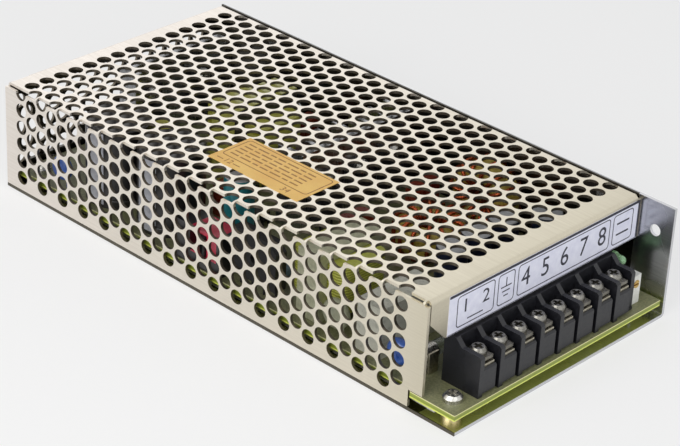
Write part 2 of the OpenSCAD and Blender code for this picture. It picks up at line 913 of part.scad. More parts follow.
module terminal_screw(i) {
    shank = terminal_head_z - top_z - foot_gap - 1.2;
    color("lightgray")
        translate([post_x(i), terminal_y, terminal_head_z]) {
            pan_head(terminal_head_d, terminal_head_h);
            translate([0, 0, -shank])
                cylinder(d = terminal_d, h = shank);
        }
}

// ---- Adjuster, lamp and switch ----

module trimmer_body() {
    bore_d = trimmer_rotor_d + 0.1;
    color("ivory") {
        difference() {
            translate([trimmer_x - trimmer_w / 2, trimmer_front, top_z])
                cube([trimmer_w, trimmer_depth, trimmer_h]);
            translate([trimmer_x, trimmer_front - past, trimmer_z])
                rotate([-90, 0, 0])
                    cylinder(d = bore_d, h = past + 2);
        }
        leads(trimmer_leads, top_z + 0.5);
    }
}

module trimmer_rotor() {
    len = 2.2;
    color("goldenrod")
        translate([trimmer_x, trimmer_front + 2, trimmer_z])
            rotate([90, 0, 0])
                difference() {
                    cylinder(d = trimmer_rotor_d, h = len);
                    translate([-trimmer_rotor_d, -0.25, len - 0.7])
                        cube([2 * trimmer_rotor_d, 0.5, 1]);
                }
}

module status_led() {
    dome = lamp_d / 2;
    lead_y = lamp_front + lamp_len + 1.2;
    color("palegreen")
        translate([lamp_x, lamp_front + dome, lamp_z])
            rotate([-90, 0, 0]) {
                sphere(r = dome);
                cylinder(d = lamp_d, h = lamp_len - dome);
                translate([0, 0, lamp_len - dome - 1])
                    cylinder(d = lamp_d + 0.8, h = 1);
            }
    color("silver") {
        for (at = lamp_leads) {
            translate([at[0], lead_y + lead_d / 4, lamp_z])
                rotate([90, 0, 0])
                    cylinder(d = lead_d / 2, h = 1.6, $fn = 16);
            translate([at[0], at[1], lead_low])
                cylinder(d = lead_d / 2, h = lamp_z - lead_low, $fn = 16);
        }
    }
}

module selector_body() {
    slot_len = actuator_w + selector_travel + 0.6;
    slot_h = actuator_h + 0.4;
    color([0.2, 0.2, 0.22]) {
        difference() {
            translate([selector_x - selector_w / 2, selector_y - selector_len / 2, top_z])
                cube([selector_w, selector_len, selector_h]);
            translate([selector_x - selector_w / 2 - past, selector_y - slot_len / 2, actuator_z - slot_h / 2])
                cube([3.5 + past, slot_len, slot_h]);
        }
        leads(selector_leads, top_z + 0.5);
    }
}

module selector_slider() {
    face = selector_x - selector_w / 2;
    y0 = selector_y - (actuator_w + selector_travel) / 2;
    color("crimson")
        difference() {
            translate([face - 0.7, y0, actuator_z - actuator_h / 2])
                cube([3.9, actuator_w, actuator_h]);
            translate([face - 1.2, y0 + actuator_w / 2 - 0.5, actuator_z - actuator_h])
                cube([1.2, 1, 2 * actuator_h]);
        }
}

// ---- Mains input parts ----

module fuse_glass() {
    len = fuse_len - 2 * fuse_cap_len + 2;
    color("aliceblue")
        translate([fuse_at[0] - len / 2, fuse_at[1], fuse_z])
            rotate([0, 90, 0])
                cylinder(d = fuse_d - 0.6, h = len);
}

module fuse_caps() {
    color("silver")
        for (s = [-1, 1])
            translate([fuse_at[0] + s * fuse_len / 2, fuse_at[1], fuse_z])
                rotate([0, -s * 90, 0])
                    difference() {
                        cylinder(d = fuse_d, h = fuse_cap_len);
                        translate([0, 0, fuse_cap_len - 1])
                            cylinder(d = fuse_d - 0.6, h = 2);
                    }
}

module fuse_clips() {
    jaw_t = 0.5;
    jaw_out = fuse_d + 2 * jaw_t;
    color("khaki") {
        for (at = fuse_leads)
            translate([at[0] + fuse_clip_w / 2, at[1], 0])
                rotate([0, -90, 0])
                    linear_extrude(fuse_clip_w) {
                        translate([top_z, -jaw_out / 2])
                            square([jaw_t, jaw_out]);
                        for (s = [-1, 1])
                            translate([top_z, s * (jaw_out / 2 - jaw_t / 2) - jaw_t / 2])
                                square([fuse_z - top_z + 1.6, jaw_t]);
                    }
        leads(fuse_leads, top_z + 0.3);
    }
}

// A disc-shaped part that stands on its leads over the board, facing along X.
module standing_disc(at, d, t) {
    translate([at[0], at[1], top_z + disc_lift + d / 2])
        disc_part(d, t);
}

module thermistor() {
    color("darkolivegreen") {
        translate([thermistor_at[0], thermistor_at[1], 0])
            rotate(90)
                standing_disc([0, 0], thermistor_d, thermistor_t);
        leads(thermistor_leads, top_z + disc_lift + 2);
    }
}

module varistor() {
    color("royalblue") {
        standing_disc(varistor_at, varistor_d, varistor_t);
        leads(varistor_leads, top_z + disc_lift + 2);
    }
}

module x_capacitor() {
    color("gold") {
        translate([x_cap_at[0], x_cap_at[1], top_z])
            soft_box(x_cap_size, 0.6);
        leads(x_cap_leads, top_z + 0.5);
    }
}

module y_capacitors() {
    color("dodgerblue") {
        for (k = [0, 1])
            standing_disc(y_caps_at[k], y_cap_d, y_cap_t);
        translate([y_caps_at[2][0], y_caps_at[2][1], 0])
            rotate(90)
                standing_disc([0, 0], y_cap_d, y_cap_t);
        leads(y_cap_leads, top_z + disc_lift + 1.6);
    }
}

choke_leg = 3.4;
choke_yoke = 3.4;
choke_core_t = 9;

module choke_core() {
    color([0.2, 0.2, 0.2])
        translate([choke_at[0], choke_at[1], top_z])
            e_core(choke_w, choke_core_t, choke_h, choke_leg, choke_yoke);
}

module choke_winding() {
    color("yellow") {
        translate([choke_at[0], choke_at[1], top_z])
            core_winding(choke_w, choke_core_t, choke_h, choke_leg, choke_yoke, choke_depth);
        leads(choke_leads, top_z + choke_yoke + bobbin_gap + 0.5);
    }
}

module bridge_rectifier() {
    foot = 4;
    color([0.13, 0.13, 0.13]) {
        translate([bridge_at[0], bridge_at[1], top_z + foot])
            rotate([90, 0, 90])
                translate([0, 0, -bridge_size[0] / 2])
                    linear_extrude(bridge_size[0])
                        difference() {
                            translate([-bridge_size[1] / 2, 0])
                                polygon([
                                    [0, 0], [bridge_size[1], 0], [bridge_size[1], bridge_size[2]],
                                    [3, bridge_size[2]], [0, bridge_size[2] - 3]
                                ]);
                            translate([0, bridge_size[2] / 2])
                                circle(d = 3.2);
                        }
        leads(bridge_leads, top_z + foot + 1);
    }
}

module bulk_capacitors() {
    color([0.3, 0.3, 0.34]) {
        for (at = bulk_at)
            translate([at[0], at[1], top_z])
                can(bulk_d, bulk_h);
        leads(bulk_leads, top_z + 0.5);
    }
}

// ---- Heatsinks and power semiconductors ----

// A plate along X with short fins on its back, its front face at y = 0.
module finned_plate(len, fins) {
    root = heatsink_t / 2;
    linear_extrude(heatsink_h)
        union() {
            translate([-len / 2, 0])
                square([len, heatsink_t]);
            for (i = [0 : fins - 1])
                translate([-len / 2 + i * (len - fin_t) / (fins - 1), root])
                    square([fin_t, fin_len + root]);
        }
}

module sink_hole(x, y) {
    translate([x, y - past, top_z + tab_hole_z])
        rotate([-90, 0, 0])
            cylinder(d = screw_d + 2 * tap_play, h = heatsink_t + 2 * past);
}

module primary_heatsink() {
    front = primary_sink_at[1] - heatsink_t / 2;
    color("gainsboro")
        difference() {
            translate([primary_sink_at[0], front, top_z])
                linear_extrude(heatsink_h)
                    union() {
                        translate([-primary_sink_len / 2, 0])
                            square([primary_sink_len, heatsink_t]);
                        for (s = [-1, 1])
                            translate([s * (primary_sink_len - heatsink_t) / 2 - heatsink_t / 2, -primary_sink_lip])
                                square([heatsink_t, primary_sink_lip + heatsink_t / 2]);
                    }
            for (x = transistors_x)
                sink_hole(x, front);
        }
}

module secondary_heatsink() {
    front = secondary_sink_at[1] - heatsink_t / 2;
    color("gainsboro")
        difference() {
            translate([secondary_sink_at[0], front, top_z])
                finned_plate(secondary_sink_len, secondary_fins);
            for (x = diodes_x)
                sink_hole(x, front);
        }
}

module switching_transistors() {
    front = primary_sink_at[1] - heatsink_t / 2;
    color([0.15, 0.15, 0.15]) {
        for (x = transistors_x)
            translate([x, front, top_z])
                tab_package();
        leads(transistor_leads, top_z + tab_foot + 1);
    }
}

module rectifier_diodes() {
    front = secondary_sink_at[1] - heatsink_t / 2;
    color([0.15, 0.15, 0.15]) {
        for (x = diodes_x)
            translate([x, front, top_z])
                tab_package();
        leads(diode_leads, top_z + tab_foot + 1);
    }
}

module sink_screw(x, front) {
    translate([x, front - tab_t, top_z + tab_hole_z])
        rotate([90, 0, 0]) {
            pan_head(screw_head_d - 0.4, screw_head_h);
            translate([0, 0, -heatsink_t - 1])
                cylinder(d = screw_d, h = heatsink_t + 1.1);
        }
}

module heatsink_screws() {
    color("lightgray") {
        for (x = transistors_x)
            sink_screw(x, primary_sink_at[1] - heatsink_t / 2);
        for (x = diodes_x)
            sink_screw(x, secondary_sink_at[1] - heatsink_t / 2);
    }
}

// ---- Transformers ----

transformer_leg = 4.2;
transformer_yoke = 4.2;

module transformer_core() {
    color([0.2, 0.2, 0.2])
        translate([transformer_at[0], transformer_at[1], top_z])
            e_core(transformer_w, transformer_core_t, transformer_h, transformer_leg, transformer_yoke);
}

module transformer_winding() {
    color("yellow") {
        translate([transformer_at[0], transformer_at[1], top_z])
            core_winding(transformer_w, transformer_core_t, transformer_h, transformer_leg, transformer_yoke,
                transformer_depth);
        leads(transformer_leads, top_z + transformer_yoke + bobbin_gap + 0.5);
    }
}

module transformer_tape() {
    inner = transformer_core_t - 0.6;
    color("yellow")
        translate([transformer_at[0], transformer_at[1], top_z])
            difference() {
                translate([-transformer_w / 2 - tape_t, -inner / 2, 0])
                    cube([transformer_w + 2 * tape_t, inner, transformer_h + tape_t]);
                translate([-transformer_w / 2, -inner / 2 - past, -past])
                    cube([transformer_w, inner + 2 * past, transformer_h + past]);
            }
}

module driver_transformer() {
    lift = 1.5;
    color("gold") {
        translate([driver_at[0], driver_at[1], top_z + lift])
            soft_box([driver_size[0] - 2 * lift, driver_size[1], driver_size[2] - 2 * lift], 2);
        translate([driver_at[0], driver_at[1], top_z])
            soft_box([driver_size[0], driver_size[1] / 3, driver_size[2]], 0.5);
        leads(driver_leads, top_z + 2 * lift);
    }
}

// ---- Output parts ----

module toroid_core() {
    rotate_extrude() {
        for (s = [-1, 1])
            translate([toroid_r, s * toroid_straight / 2])
                circle(d = toroid_t, $fn = 32);
        translate([toroid_r - toroid_t / 2, -toroid_straight / 2])
            square([toroid_t, toroid_straight]);
    }
}

// One closed turn of wire round the core's section.
module wire_loop() {
    for (turn = [0, 180])
        rotate(turn) {
            translate([0, toroid_straight / 2, 0])
                rotate_extrude(angle = 180)
                    translate([toroid_loop_r, 0])
                        circle(d = wire_d, $fn = 16);
            translate([toroid_loop_r, -toroid_straight / 2, 0])
                rotate([-90, 0, 0])
                    cylinder(d = wire_d, h = toroid_straight, $fn = 16);
        }
}

module toroid_winding() {
    for (k = [0 : toroid_turns - 1])
        rotate(k * 360 / toroid_turns)
            translate([toroid_r, 0, 0])
                rotate([90, 0, 0])
                    wire_loop();
}

module place_flat_toroid() {
    translate([flat_toroid_at[0], flat_toroid_at[1], top_z + toroid_half_h])
        children();
}

module place_tall_toroid() {
    translate([tall_toroid_at[0], tall_toroid_at[1], top_z + toroid_out])
        rotate([0, 90, 0])
            children();
}

module toroid_cores() {
    color("darkgoldenrod") {
        place_flat_toroid()
            toroid_core();
        place_tall_toroid()
            toroid_core();
    }
}

module toroid_windings() {
    color("peru") {
        place_flat_toroid()
            toroid_winding();
        place_tall_toroid()
            toroid_winding();
    }
}

module output_capacitors() {
    color("steelblue") {
        for (at = output_caps_at)
            translate([at[0], at[1], top_z])
                can(output_cap_d, output_cap_h);
        leads(output_cap_leads, top_z + 0.5);
    }
}

module supply_capacitor() {
    color("teal") {
        translate([supply_cap_at[0], supply_cap_at[1], top_z])
            can(output_cap_d, supply_cap_h);
        leads(supply_cap_leads, top_z + 0.5);
    }
}

module control_chips() {
    lift = 0.8;
    knee = 0.8;
    color([0.15, 0.15, 0.15]) {
        for (at = chips_at)
            translate([at[0], at[1], top_z + lift])
                linear_extrude(chip_size[2])
                    square([chip_size[0], chip_size[1]], center = true);
        leads(chip_leads, top_z + lift + chip_size[2] / 2);
        for (at = chip_leads)
            for (chip = chips_at)
                if (norm([at[0] - chip[0], at[1] - chip[1]]) < chip_row)
                    translate([at[0], (at[1] * 3 + chip[1]) / 4, top_z + lift + chip_size[2] / 2 - knee / 4])
                        cube([knee, chip_row / 4, knee / 2], center = true);
    }
}

module power_resistors() {
    z = top_z + resistor_d / 2;
    color("lightsteelblue") {
        for (at = resistors_at)
            translate([at[0] - resistor_len / 2, at[1], z])
                rotate([0, 90, 0])
                    cylinder(d = resistor_d, h = resistor_len);
        for (at = resistor_leads)
            translate([at[0], at[1], z])
                sphere(d = lead_d, $fn = 16);
        for (at = resistors_at)
            translate([at[0] - resistor_span / 2, at[1], z])
                rotate([0, 90, 0])
                    cylinder(d = lead_d, h = resistor_span, $fn = 16);
        leads(resistor_leads, z);
    }
}

module film_capacitors() {
    color("brown") {
        for (at = film_caps_at)
            translate([at[0], at[1], top_z])
                soft_box(film_cap_size, 1.2);
        leads(film_cap_leads, top_z + 0.5);
    }
}

chassis();
cover();
cover_screws();
board_standoffs();
insulation_film();
circuit_board();
board_screws();
front_label();
top_label();
terminal_block();
terminal_contacts();
clamp_plate(0);  // clamp_plate_1
clamp_plate(1);  // clamp_plate_2
clamp_plate(2);  // clamp_plate_3
clamp_plate(3);  // clamp_plate_4
clamp_plate(4);  // clamp_plate_5
clamp_plate(5);  // clamp_plate_6
clamp_plate(6);  // clamp_plate_7
clamp_plate(7);  // clamp_plate_8
terminal_screw(0);  // terminal_screw_1
terminal_screw(1);  // terminal_screw_2
terminal_screw(2);  // terminal_screw_3
terminal_screw(3);  // terminal_screw_4
terminal_screw(4);  // terminal_screw_5
terminal_screw(5);  // terminal_screw_6
terminal_screw(6);  // terminal_screw_7
terminal_screw(7);  // terminal_screw_8
trimmer_body();
trimmer_rotor();
status_led();
selector_body();
selector_slider();
fuse_glass();
fuse_caps();
fuse_clips();
thermistor();
varistor();
x_capacitor();
y_capacitors();
choke_core();
choke_winding();
bridge_rectifier();
bulk_capacitors();
primary_heatsink();
switching_transistors();
transformer_core();
transformer_winding();
transformer_tape();
driver_transformer();
secondary_heatsink();
rectifier_diodes();
heatsink_screws();
toroid_cores();
toroid_windings();
output_capacitors();
supply_capacitor();
control_chips();
power_resistors();
film_capacitors();
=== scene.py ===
import math

import bmesh
import bpy
from mathutils import Matrix, Vector


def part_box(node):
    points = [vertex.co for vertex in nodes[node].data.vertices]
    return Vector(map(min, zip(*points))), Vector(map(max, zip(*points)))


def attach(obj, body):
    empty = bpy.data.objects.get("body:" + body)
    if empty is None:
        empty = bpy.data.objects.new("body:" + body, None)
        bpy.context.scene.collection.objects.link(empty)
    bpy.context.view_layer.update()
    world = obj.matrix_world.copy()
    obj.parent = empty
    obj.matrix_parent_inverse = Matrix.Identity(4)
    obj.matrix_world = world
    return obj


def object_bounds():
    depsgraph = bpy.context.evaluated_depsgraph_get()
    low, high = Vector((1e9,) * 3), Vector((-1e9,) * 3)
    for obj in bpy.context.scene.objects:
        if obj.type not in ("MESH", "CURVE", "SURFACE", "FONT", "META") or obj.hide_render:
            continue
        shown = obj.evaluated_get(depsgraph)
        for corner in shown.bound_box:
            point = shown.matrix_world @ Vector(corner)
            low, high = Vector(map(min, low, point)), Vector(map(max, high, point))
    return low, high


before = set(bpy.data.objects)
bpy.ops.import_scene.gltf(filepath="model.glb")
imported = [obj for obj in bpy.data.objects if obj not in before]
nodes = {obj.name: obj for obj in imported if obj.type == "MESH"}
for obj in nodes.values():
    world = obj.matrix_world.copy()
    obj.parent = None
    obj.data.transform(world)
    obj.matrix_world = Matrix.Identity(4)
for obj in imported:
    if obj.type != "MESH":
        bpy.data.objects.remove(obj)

# The mesh-case power supply's looks: finishes for every node, printed labels, small fittings, light and camera.
# Everything is in metres, in the part's own frame: X across, Y to the back, Z up.

cad_low, cad_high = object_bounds()
MM = 0.001
SHEET = 1.0 * MM


# ---- Colours and material nodes ----

def rgb(red, green, blue):
    """A colour given in ordinary 0 to 255 steps, as the linear RGBA that shaders take."""
    steps = [value / 255 for value in (red, green, blue)]
    return [s / 12.92 if s <= 0.04045 else ((s + 0.055) / 1.055) ** 2.4 for s in steps] + [1.0]


class Finish:
    """One node material with its shader, and helpers that feed the shader's sockets."""

    def __init__(self, name, **sockets):
        self.material = bpy.data.materials.new(name)
        self.material.use_nodes = True
        self.tree = self.material.node_tree
        self.tree.nodes.clear()
        output = self.add("ShaderNodeOutputMaterial")
        self.shader = self.add("ShaderNodeBsdfPrincipled")
        self.join(self.shader.outputs["BSDF"], output.inputs["Surface"])
        self.place = self.add("ShaderNodeTexCoord").outputs["Object"]
        for key, value in sockets.items():
            self.shader.inputs[key.replace("_", " ")].default_value = value

    def add(self, kind, **settings):
        node = self.tree.nodes.new(kind)
        for key, value in settings.items():
            setattr(node, key, value)
        return node

    def join(self, source, target):
        self.tree.links.new(source, target)

    def scaled(self, per_metre):
        mapping = self.add("ShaderNodeMapping")
        mapping.inputs["Scale"].default_value = per_metre
        self.join(self.place, mapping.inputs["Vector"])
        return mapping.outputs["Vector"]

    def noise(self, per_metre, detail=3.0, rough=0.55):
        """A noise pattern with that many features a metre along X, Y and Z."""
        node = self.add("ShaderNodeTexNoise")
        node.inputs["Scale"].default_value = 1.0
        node.inputs["Detail"].default_value = detail
        node.inputs["Roughness"].default_value = rough
        self.join(self.scaled(per_metre), node.inputs["Vector"])
        return node.outputs["Fac"]

    def bands(self, per_metre, axis="Z", wobble=0.0):
        """Parallel bands across an axis, about that many a metre."""
        node = self.add("ShaderNodeTexWave", bands_direction=axis)
        node.inputs["Scale"].default_value = 1.0
        node.inputs["Distortion"].default_value = wobble
        node.inputs["Detail"].default_value = 1.0
        self.join(self.scaled([per_metre * math.pi / 10] * 3), node.inputs["Vector"])
        return node.outputs["Fac"]

    def cells(self, per_metre):
        node = self.add("ShaderNodeTexVoronoi")
        node.inputs["Scale"].default_value = 1.0
        self.join(self.scaled(per_metre), node.inputs["Vector"])
        return node.outputs["Distance"]

    def along(self, axis, low, high):
        """How far along X, Y or Z a point is: 0 at low, 1 at high."""
        split = self.add("ShaderNodeSeparateXYZ")
        self.join(self.place, split.inputs["Vector"])
        return self.spread(split.outputs[axis], 0.0, 1.0, low, high)

    def maths(self, operation, one, other=0.0):
        node = self.add("ShaderNodeMath", operation=operation)
        for value, target in ((one, node.inputs[0]), (other, node.inputs[1])):
            if isinstance(value, bpy.types.NodeSocket):
                self.join(value, target)
            else:
                target.default_value = value
        return node.outputs[0]

    def within(self, low, high):
        """1 where a point lies between two corners, else 0. A side left as None is open."""
        split = self.add("ShaderNodeSeparateXYZ")
        self.join(self.place, split.inputs["Vector"])
        inside = 1.0
        for axis in range(3):
            if low[axis] is not None:
                inside = self.maths("MULTIPLY", self.maths("GREATER_THAN", split.outputs[axis], low[axis]), inside)
            if high[axis] is not None:
                inside = self.maths("MULTIPLY", self.maths("LESS_THAN", split.outputs[axis], high[axis]), inside)
        return inside

    def edge_on(self, axis):
        """1 where the surface stands edge-on to an axis, else 0."""
        split = self.add("ShaderNodeSeparateXYZ")
        self.join(self.add("ShaderNodeNewGeometry").outputs["True Normal"], split.inputs["Vector"])
        return self.maths("LESS_THAN", self.maths("ABSOLUTE", split.outputs[axis]), 0.3)

    def spread(self, source, to_low, to_high, from_low=0.3, from_high=0.7):
        node = self.add("ShaderNodeMapRange")
        for key, value in (("From Min", from_low), ("From Max", from_high), ("To Min", to_low), ("To Max", to_high)):
            node.inputs[key].default_value = value
        self.join(source, node.inputs["Value"])
        return node.outputs["Result"]

    def ramp(self, source, stops, hard=False):
        """Colours against a 0 to 1 source: stops are (position, colour)."""
        node = self.add("ShaderNodeValToRGB")
        ramp = node.color_ramp
        ramp.interpolation = "CONSTANT" if hard else "LINEAR"
        while len(ramp.elements) < len(stops):
            ramp.elements.new(1.0)
        for element, (position, colour) in zip(ramp.elements, stops):
            element.position = position
            element.color = colour
        self.join(source, node.inputs["Fac"])
        return node.outputs["Color"]

    def mix(self, share, one, other, how="MIX"):
        """Two colours mixed by a share, which may be a socket or a number, and so may the colours."""
        node = self.add("ShaderNodeMix", data_type="RGBA", blend_type=how)
        for value, target in ((share, node.inputs[0]), (one, node.inputs[6]), (other, node.inputs[7])):
            if isinstance(value, bpy.types.NodeSocket):
                self.join(value, target)
            else:
                target.default_value = value
        return node.outputs[2]

    def colour(self, source):
        self.join(source, self.shader.inputs["Base Color"])

    def roughness(self, source, low, high):
        self.join(self.spread(source, low, high), self.shader.inputs["Roughness"])

    def relief(self, source, strength, depth):
        node = self.add("ShaderNodeBump")
        node.inputs["Strength"].default_value = strength
        node.inputs["Distance"].default_value = depth
        self.join(source, node.inputs["Height"])
        self.join(node.outputs["Normal"], self.shader.inputs["Normal"])


def plain(name, dark, light, rough, grain, relief=0.15, depth=0.1 * MM, **sockets):
    """A finish of two near tones in a fine noise, with the gloss and relief following it."""
    made = Finish(name, **sockets)
    noise = made.noise(grain if isinstance(grain, (list, tuple)) else [grain] * 3)
    made.colour(made.ramp(noise, [(0.3, rgb(*dark)), (0.7, rgb(*light))]))
    made.roughness(noise, *rough)
    made.relief(noise, relief, depth)
    return made.material


def wound(name, dark, light, rough, turns, axis, wobble=0.6, relief=0.8, depth=0.25 * MM, **sockets):
    """A finish of turns of wire or tape laid side by side."""
    made = Finish(name, **sockets)
    turns_fac = made.bands(turns, axis, wobble)
    noise = made.noise([900, 900, 900])
    shade = made.ramp(turns_fac, [(0.0, rgb(*dark)), (0.6, rgb(*light))])
    made.colour(made.mix(made.spread(noise, 0.0, 0.35), shade, rgb(*dark)))
    made.roughness(noise, *rough)
    made.relief(turns_fac, relief, depth)
    return made.material


def cover_finish():
    """Plated perforated sheet: warm silver, paler to the back, with painted shade on the inside faces, and darker
    punched edges.
    """
    made = Finish("cover_plating", Metallic=0.9)
    low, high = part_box("cover")
    skin, bend = 0.05 * MM, 2.0 * MM
    length = made.along("Y", cad_low.y, cad_high.y)
    base = made.ramp(length, [(0.0, rgb(198, 191, 168)), (0.16, rgb(220, 213, 196)), (1.0, rgb(232, 225, 218))])
    grain = made.noise([1800, 60, 1800], 5.0)
    cloud = made.noise([45, 45, 45], 2.0)
    worn = made.mix(made.spread(grain, 0.0, 0.22), base, rgb(180, 172, 156))
    tone = made.mix(made.spread(cloud, 0.0, 0.15), worn, rgb(196, 190, 176))
    # Painted shade: the cover's inside faces are darkened to stand for the unlit interior.
    painted_inside_shade = made.within(
        (low.x + SHEET - skin, low.y + SHEET - skin, None), (None, high.y - SHEET + skin, high.z - SHEET + skin)
    )
    tone = made.mix(painted_inside_shade, tone, rgb(74, 70, 64))
    punched = made.maths("MAXIMUM", made.maths("MAXIMUM", made.maths("MULTIPLY", made.edge_on(2), made.within(
        (low.x + bend, low.y + bend, high.z - SHEET + skin), (high.x - bend, high.y - bend, high.z - skin)
    )), made.maths("MULTIPLY", made.edge_on(0), made.within(
        (None, low.y + bend, low.z + bend), (low.x + SHEET - skin, high.y - bend, high.z - bend)
    ))), made.maths("MULTIPLY", made.edge_on(1), made.within(
        (low.x + bend, high.y - SHEET + skin, low.z + bend), (high.x - bend, high.y - skin, high.z - bend)
    )))
    made.colour(made.mix(punched, tone, rgb(112, 104, 92)))
    made.roughness(grain, 0.34, 0.48)
    made.relief(grain, 0.12, 0.03 * MM)
    return made.material


def sheet_finish():
    """Bright rolled aluminium: a soft mirror outside and at the open end, with painted shade behind the cover and a
    painted shadow line on the outer left edge.
    """
    made = Finish("rolled_aluminium", Metallic=1.0)
    low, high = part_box("chassis")
    cover_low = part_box("cover")[0]
    lines = made.noise([2600, 40, 2600], 5.0)
    cloud = made.noise([38, 38, 38], 2.0)
    shade = made.ramp(lines, [(0.3, rgb(186, 188, 194)), (0.7, rgb(214, 214, 218))])
    tone = made.mix(made.spread(cloud, 0.0, 0.3), shade, rgb(196, 198, 190))
    # Painted shade: the chassis floor behind the cover is darkened as if unlit.
    painted_inside_shade = made.within((None, cover_low.y + SHEET, SHEET * 0.9), (high.x - SHEET / 2, None, None))
    tone = made.mix(painted_inside_shade, tone, rgb(84, 82, 78))
    # Painted shadow: the chassis's outer left face is darkened into a thin shadow line along the floor.
    painted_edge_shadow = made.within((None, None, None), (low.x + SHEET / 3, None, None))
    made.colour(made.mix(painted_edge_shadow, tone, rgb(96, 92, 82)))
    made.roughness(cloud, 0.2, 0.32)
    made.relief(lines, 0.1, 0.03 * MM)
    return made.material


def selector_finish():
    """The voltage selector: a dark moulding with a crimson body round its slot."""
    made = Finish("selector_moulding", Coat_Weight=0.2)
    low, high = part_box("selector_body")
    noise = made.noise([900, 900, 900])
    dark = made.ramp(noise, [(0.3, rgb(26, 26, 28)), (0.7, rgb(38, 38, 40))])
    red = made.ramp(noise, [(0.3, rgb(196, 26, 60)), (0.7, rgb(220, 52, 86))])
    core = made.within((None, low.y + 2.0 * MM, low.z + 7.5 * MM), (None, low.y + 13.5 * MM, None))
    made.colour(made.mix(core, dark, red))
    made.roughness(noise, 0.3, 0.42)
    made.relief(noise, 0.15, 0.05 * MM)
    return made.material


def board_finish():
    """Circuit board: grey-olive lacquer on top, a yellow-green edge with painted highlight lines along its top and
    bottom.
    """
    low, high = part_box("circuit_board")
    made = Finish("board_laminate", Roughness=0.42)
    height = made.along("Z", low.z, high.z)
    # Painted highlights: the bright band at the foot of the board's edge and the cream line at its top stand for
    # light on its corners.
    edge_with_painted_highlights = made.ramp(height, [
        (0.0, rgb(220, 228, 112)), (0.16, rgb(206, 216, 96)), (0.3, rgb(124, 136, 44)),
        (0.78, rgb(136, 148, 52)), (0.93, rgb(226, 222, 164)),
    ])
    weave = made.noise([1400, 1400, 300], 2.0)
    face = made.ramp(weave, [(0.35, rgb(116, 118, 84)), (0.65, rgb(142, 142, 106))])
    on_face = made.ramp(height, [(0.0, rgb(0, 0, 0)), (0.995, rgb(255, 255, 255))], hard=True)
    made.colour(made.mix(on_face, edge_with_painted_highlights, face))
    made.roughness(weave, 0.3, 0.5)
    made.relief(weave, 0.15, 0.05 * MM)
    return made.material


def can_finish(name, node, dark, light, lid=(186, 188, 192), rim=0.7 * MM):
    """A capacitor's shrink sleeve, with its lid inside the rolled edge."""
    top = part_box(node)[1].z
    made = Finish(name, Coat_Weight=0.3, Coat_Roughness=0.2)
    noise = made.noise([500, 500, 120])
    sleeve = made.ramp(noise, [(0.3, rgb(*dark)), (0.7, rgb(*light))])
    height = made.along("Z", top - rim, top)
    bare = made.ramp(height, [(0.0, rgb(0, 0, 0)), (0.45, rgb(255, 255, 255))], hard=True)
    made.colour(made.mix(bare, sleeve, rgb(*lid)))
    made.roughness(noise, 0.28, 0.4)
    made.relief(noise, 0.15, 0.05 * MM)
    return made.material


def amber_finish():
    """The top label's printed film: amber with a faintly uneven tone."""
    made = Finish("amber_film", Coat_Weight=0.15, Coat_Roughness=0.35)
    cloud = made.noise([160, 90, 160], 3.0)
    fine = made.noise([2400, 2400, 2400], 2.0)
    tone = made.ramp(cloud, [(0.3, rgb(226, 176, 84)), (0.7, rgb(238, 196, 104))])
    made.colour(made.mix(made.spread(fine, 0.0, 0.12), tone, rgb(206, 152, 70)))
    made.roughness(fine, 0.42, 0.56)
    made.relief(fine, 0.08, 0.02 * MM)
    return made.material


def glass_finish():
    made = Finish("fuse_tube", Transmission_Weight=0.9, IOR=1.46, Roughness=0.06)
    noise = made.noise([300, 300, 300], 2.0)
    made.colour(made.ramp(noise, [(0.3, rgb(226, 236, 238)), (0.7, rgb(242, 248, 248))]))
    made.relief(noise, 0.05, 0.05 * MM)
    return made.material


steel = plain("plated_screw", (176, 174, 168), (214, 212, 206), (0.22, 0.36), 1500, Metallic=1.0)
# Painted dark reflection: the terminal screws are toned darker than the plain plated screws to stand for the black
# moulding around them.
nickel_painted_dark_reflection = plain("nickel_screw_painted_dark_reflection", (112, 110, 104), (146, 144, 138), (0.26, 0.4), 1500, Metallic=1.0)
zinc = plain("plated_clamp", (170, 164, 146), (208, 202, 184), (0.28, 0.42), 1200, Metallic=1.0)
black = plain("black_moulding", (13, 13, 17), (24, 25, 31), (0.36, 0.52), 1100, relief=0.2)
# Painted dark reflection: the terminal clamp plates are toned darker in the same way.
clamp_painted_dark_reflection = plain("nickel_clamp_painted_dark_reflection", (104, 101, 94), (138, 135, 126), (0.3, 0.44), 1200, Metallic=1.0)
white = plain("white_moulding", (214, 214, 206), (232, 232, 226), (0.4, 0.55), 900)
sink = plain("sink_aluminium", (168, 170, 174), (204, 206, 210), (0.25, 0.4), [1800, 1800, 60], Metallic=1.0)
package = plain("package_epoxy", (20, 20, 21), (34, 34, 35), (0.5, 0.65), 2200, relief=0.3)
blue = plain("blue_epoxy", (44, 84, 168), (70, 112, 196), (0.25, 0.38), 500, Coat_Weight=0.3)

